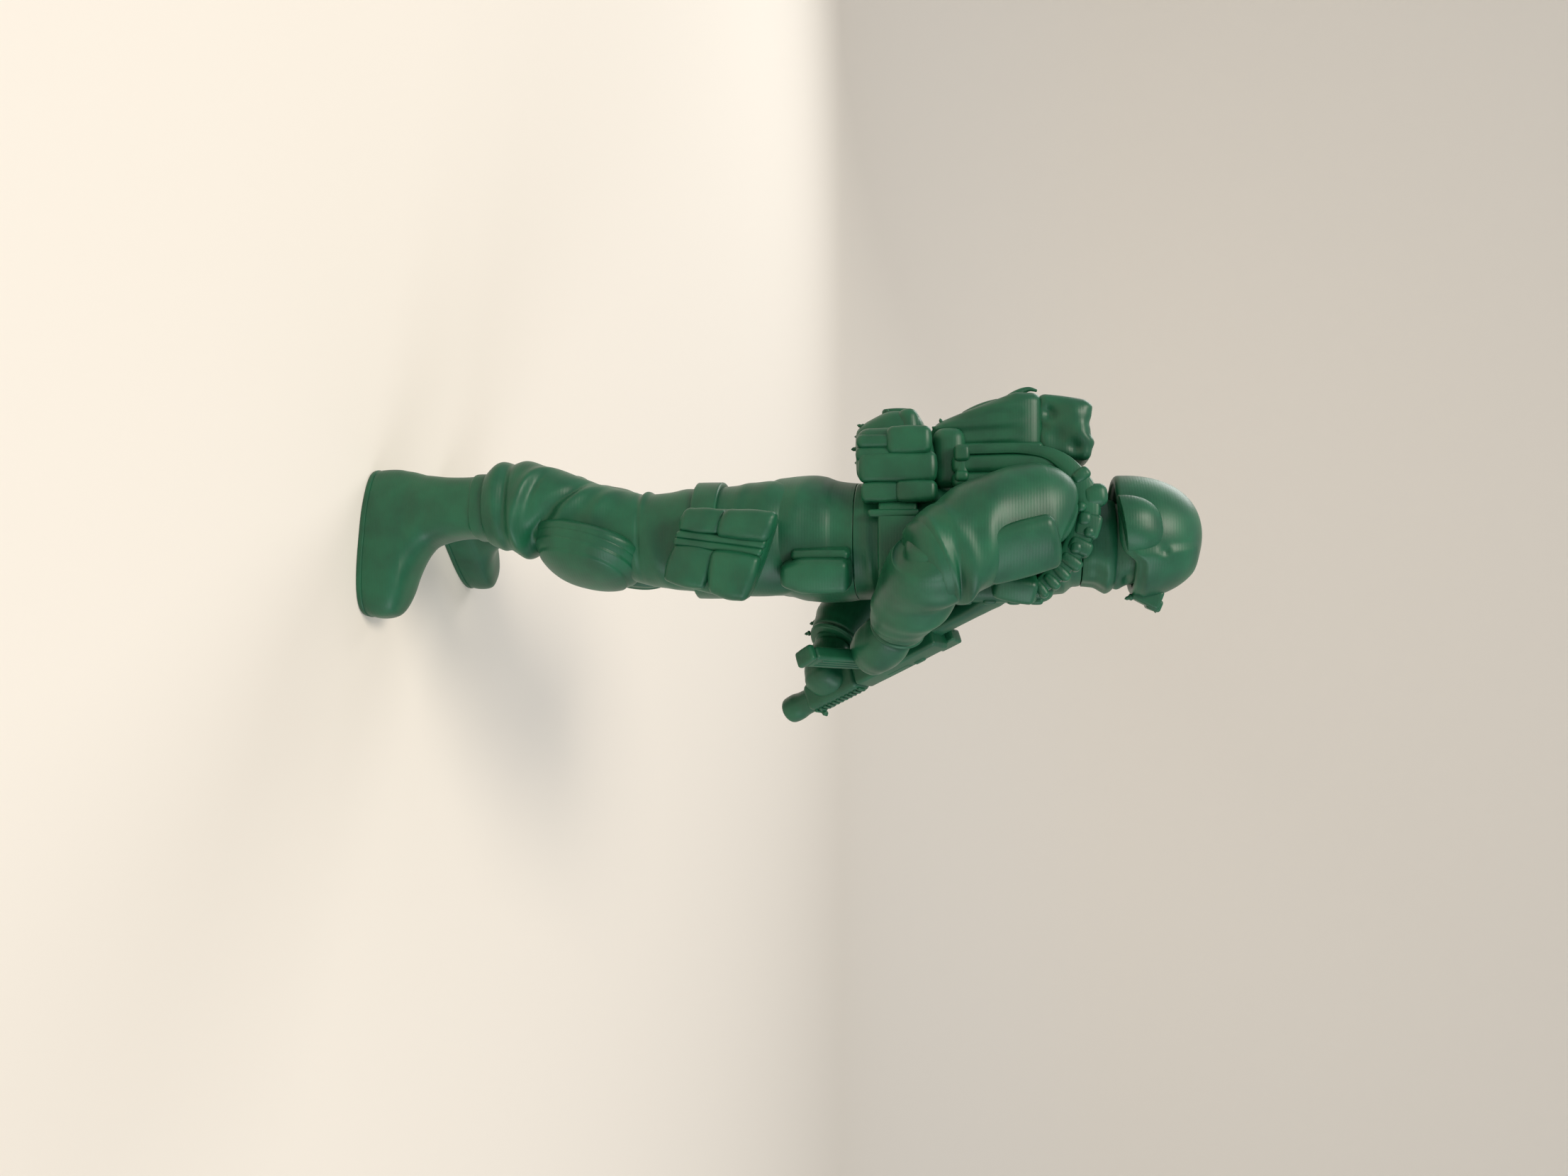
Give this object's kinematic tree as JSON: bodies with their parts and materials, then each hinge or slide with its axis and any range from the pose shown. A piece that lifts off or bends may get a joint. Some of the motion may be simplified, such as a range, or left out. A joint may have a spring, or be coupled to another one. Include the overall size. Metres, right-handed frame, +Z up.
{
  "type": "toy soldier",
  "caption": "Green plastic toy soldier in patrol stance with helmet, packs, pouches and rifle, plugged together so that it turns at the waist and the neck.",
  "frame": {"origin": "on the floor, at the middle of the overall box", "axes": "+X the way the figure faces, +Y to its left, +Z up from the boot soles to the helmet"},
  "size_m": [0.0298, 0.0316, 0.075],
  "materials": {
    "green_plastic": "satin moulded plastic, dark green"
  },
  "bodies": {
    "legs": {"hips": "green_plastic", "right_boot_sole": "green_plastic", "right_boot": "green_plastic", "right_leg": "green_plastic", "right_knee_pad": "green_plastic", "right_knee_cap": "green_plastic", "left_boot_sole": "green_plastic", "left_boot": "green_plastic", "left_leg": "green_plastic", "left_knee_pad": "green_plastic", "left_knee_cap": "green_plastic", "thigh_pouch": "green_plastic", "thigh_pouch_rear_flap": "green_plastic", "thigh_pouch_front_flap": "green_plastic", "thigh_pouch_strap": "green_plastic", "thigh_strap": "green_plastic", "hip_pocket": "green_plastic"},
    "torso": {"jacket": "green_plastic", "vest_front": "green_plastic", "vest_back": "green_plastic", "right_shoulder_strap": "green_plastic", "right_strap_clip": "green_plastic", "right_side_strap": "green_plastic", "left_shoulder_strap": "green_plastic", "left_strap_clip": "green_plastic", "left_side_strap": "green_plastic", "neck_cowl": "green_plastic", "belt": "green_plastic", "belt_buckle": "green_plastic", "butt_pack": "green_plastic", "right_rear_pouch": "green_plastic", "right_rear_pouch_flap": "green_plastic", "left_rear_pouch": "green_plastic", "left_rear_pouch_flap": "green_plastic", "right_side_pouch": "green_plastic", "back_pack": "green_plastic", "back_pack_top": "green_plastic", "right_upper_arm": "green_plastic", "right_forearm": "green_plastic", "right_glove": "green_plastic", "left_upper_arm": "green_plastic", "left_forearm": "green_plastic", "left_glove": "green_plastic", "right_sleeve_pocket": "green_plastic", "chest_tab": "green_plastic", "rifle_stock": "green_plastic", "rifle_receiver": "green_plastic", "rifle_grip": "green_plastic", "rifle_magazine": "green_plastic", "rifle_magazine_plate": "green_plastic", "rifle_handguard": "green_plastic", "rifle_barrel": "green_plastic", "rifle_rear_sight": "green_plastic", "rifle_front_sight": "green_plastic"},
    "head": {"head": "green_plastic", "face_gaiter": "green_plastic", "helmet": "green_plastic", "right_ear_cover": "green_plastic", "left_ear_cover": "green_plastic", "helmet_mount": "green_plastic"}
  },
  "joints": [
    {"name": "waist_turn", "type": "hinge", "parent": "legs", "child": "torso", "pos_m": [-0.00263, -0.00064, 0.0445], "axis": [0, 0, 1], "range_deg": [-25, 25]},
    {"name": "neck_turn", "type": "hinge", "parent": "torso", "child": "head", "pos_m": [-0.00263, -0.00064, 0.0642], "axis": [0, 0, 1], "range_deg": [-35, 35]}
  ]
}
